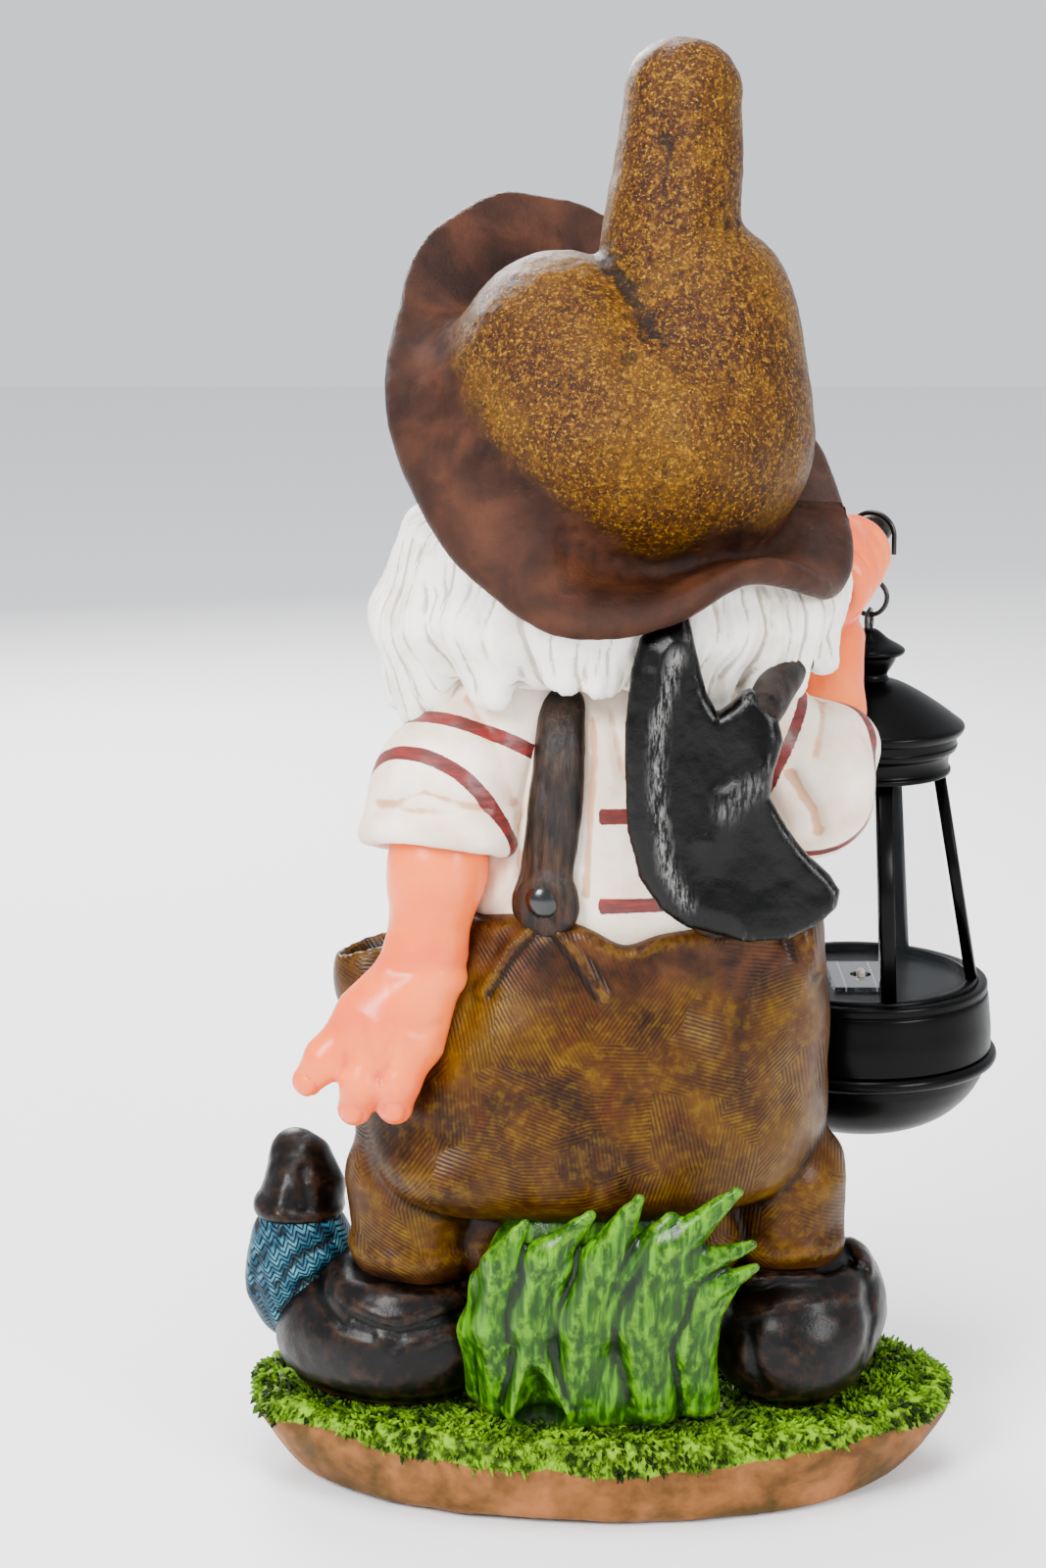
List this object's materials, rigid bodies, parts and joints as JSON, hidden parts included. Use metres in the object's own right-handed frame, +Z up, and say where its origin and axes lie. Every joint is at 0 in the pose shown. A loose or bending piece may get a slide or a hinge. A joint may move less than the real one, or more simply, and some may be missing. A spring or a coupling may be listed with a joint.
{
  "type": "garden gnome with lantern",
  "caption": "Standing bearded garden gnome in a tall brimmed hat with an axe over its shoulder and a hanging solar lantern on the axe handle.",
  "frame": {"origin": "centre of the oval underside of the base, on the plane it stands on", "axes": "+Z up, the figure faces -Y, its right hand and the lantern are on -X"},
  "size_m": [0.3868, 0.2941, 0.6977],
  "materials": {
    "moss": "painted cast resin, rough",
    "tuft": "painted cast resin, satin",
    "boot": "painted cast resin, semi-gloss",
    "sock": "painted cast resin, satin",
    "trouser": "painted cast resin, satin",
    "shirt": "painted cast resin, matt",
    "skin": "painted cast resin, satin",
    "hair": "painted cast resin, matt",
    "hat": "painted cast resin, semi-gloss",
    "strap": "painted cast resin, satin",
    "button": "painted cast resin, gloss",
    "axe": "painted cast resin, semi-gloss",
    "handle": "stained, waxed",
    "plug": "moulded",
    "wire": "black, semi-gloss",
    "lantern_black": "satin moulded",
    "clear": "clear",
    "cell": "laminated cell",
    "led": "clear epoxy",
    "screw": "zinc plated",
    "seal": "moulded",
    "cell_can": "printed sleeve",
    "contact": "nickel plated",
    "board": "solder resist"
  },
  "bodies": {
    "figure": {"base": "moss", "vent_plug": "plug", "grass_tuft": "tuft", "right_boot": "boot", "left_boot": "boot", "left_sock": "sock", "left_toe_cap": "boot", "trousers": "trouser", "left_leg": "trouser", "right_leg": "trouser", "shirt": "shirt", "left_sleeve": "shirt", "right_sleeve": "shirt", "left_arm": "skin", "right_arm": "skin", "head": "skin", "hair": "hair", "beard": "hair", "hat": "hat", "strap_back_left": "strap", "strap_back_right": "strap", "strap_front_left": "strap", "strap_front_right": "strap", "strap_buttons": "button", "axe_head": "axe", "axe_handle": "handle"},
    "hook": {"s_hook": "wire"},
    "lantern": {"lantern_eye": "wire", "lantern_finial": "lantern_black", "finial_screw": "screw", "lantern_roof": "lantern_black", "lantern_frame": "lantern_black", "lantern_glass": "clear", "lantern_deck": "lantern_black", "deck_screws": "screw", "solar_cell": "cell", "led": "led", "lantern_collar": "lantern_black", "battery_holder": "lantern_black", "battery_cell": "cell_can", "contact_springs": "contact", "circuit_board": "board"},
    "bowl": {"lantern_bowl": "lantern_black", "seal_ring": "seal", "switch_housing": "lantern_black"},
    "switch": {"switch_knob": "lantern_black"}
  },
  "joints": [
    {"name": "hook_swing", "type": "hinge", "parent": "figure", "child": "hook", "pos_m": [-0.138, -0.1135, 0.4532], "axis": [0.3107, 0.9232, -0.2264], "range_deg": [-1, 25]},
    {"name": "lantern_swing", "type": "hinge", "parent": "hook", "child": "lantern", "pos_m": [-0.138, -0.1135, 0.41184], "axis": [-0.9478, 0.319, 0], "range_deg": [-0.5, 30]},
    {"name": "bowl_twist", "type": "hinge", "parent": "lantern", "child": "bowl", "pos_m": [-0.138, -0.1135, 0.18464], "axis": [0, 0, 1], "range_deg": [0, 30]},
    {"name": "switch_slide", "type": "slide", "parent": "bowl", "child": "switch", "axis": [1, 0, 0], "range_m": [0, 0.003]}
  ]
}
